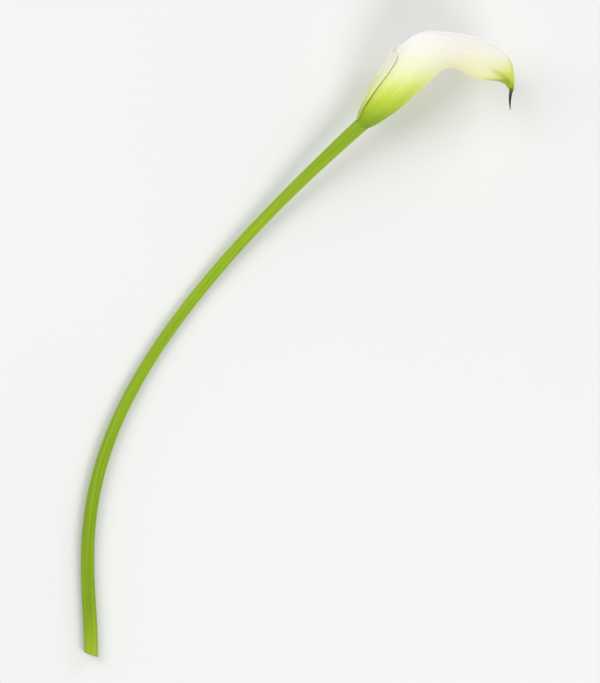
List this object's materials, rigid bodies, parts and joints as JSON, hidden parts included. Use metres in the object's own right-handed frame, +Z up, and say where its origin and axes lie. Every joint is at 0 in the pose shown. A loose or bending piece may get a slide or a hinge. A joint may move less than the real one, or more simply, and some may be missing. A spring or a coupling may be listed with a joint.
{
  "type": "arum lily flower",
  "caption": "Picked white arum lily lying on its side: curved leafless stem, rolled funnel spathe with a drooping pointed tail, and a yellow spadix inside.",
  "frame": {"origin": "on the surface the flower lies on, under the middle of its bounding box", "axes": "+Z up from the surface; +Y along the flower's length, from the cut end of the stem towards the bloom; +X to the right when it is looked at from above, the side that the stem leans to and the tail points past"},
  "size_m": [0.264, 0.3814, 0.0666],
  "materials": {
    "stem": "smooth waxy green plant skin with fine lengthwise streaks",
    "spathe": "satin petal tissue, lime green at the base fading to ivory white, green tip and dark tail",
    "spadix": "matt, pollen yellow, closely set tiny flowers"
  },
  "bodies": {
    "root": {"stem": "stem", "spathe": "spathe", "spadix": "spadix"}
  },
  "joints": []
}
